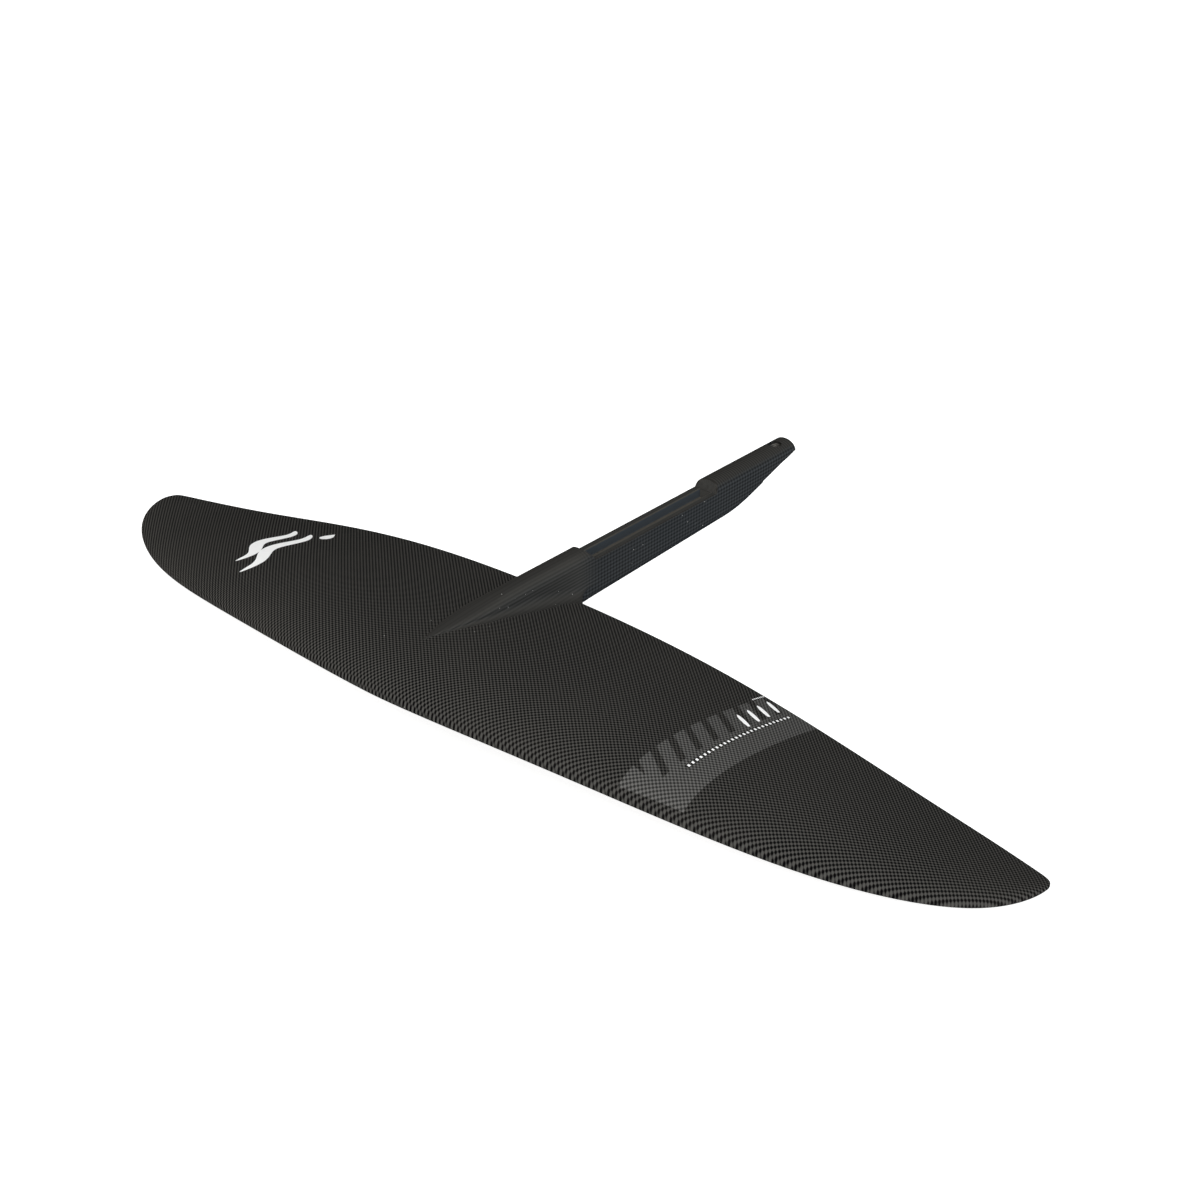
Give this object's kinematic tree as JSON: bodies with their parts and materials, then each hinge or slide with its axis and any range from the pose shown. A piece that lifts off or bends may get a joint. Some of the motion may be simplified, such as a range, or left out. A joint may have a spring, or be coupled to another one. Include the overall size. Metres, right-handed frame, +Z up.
{
  "type": "hydrofoil front wing",
  "caption": "Swept, drooping hydrofoil wing moulded in one piece with its fuselage, with a slotted mast seat and a bevelled stabiliser seat.",
  "frame": {"origin": "middle of the floor of the slot that takes the mast", "axes": "+X along the span, +Y towards the tail, +Z up towards the mast"},
  "size_m": [0.8696, 0.4745, 0.0824],
  "materials": {
    "carbon_skin": "satin woven carbon",
    "carbon_tape": "unidirectional carbon",
    "solid_laminate": "machined carbon laminate",
    "roving": "carbon roving in resin",
    "foam": "closed-cell foam",
    "bush_steel": "turned"
  },
  "bodies": {
    "root": {"upper_skin": "carbon_skin", "lower_skin": "carbon_skin", "spar_cap_upper": "carbon_tape", "spar_cap_lower": "carbon_tape", "spar_core": "foam", "leading_edge_filler_left": "roving", "front_core_left": "foam", "rear_core_left": "foam", "trailing_edge_filler_left": "roving", "leading_edge_filler_right": "roving", "front_core_right": "foam", "rear_core_right": "foam", "trailing_edge_filler_right": "roving", "fuselage_core_front": "foam", "mast_socket": "solid_laminate", "fuselage_core_rear": "foam", "tail_block": "solid_laminate", "mast_screw_bush_1": "bush_steel", "mast_screw_bush_2": "bush_steel", "stabiliser_screw_bush": "bush_steel"}
  },
  "joints": []
}
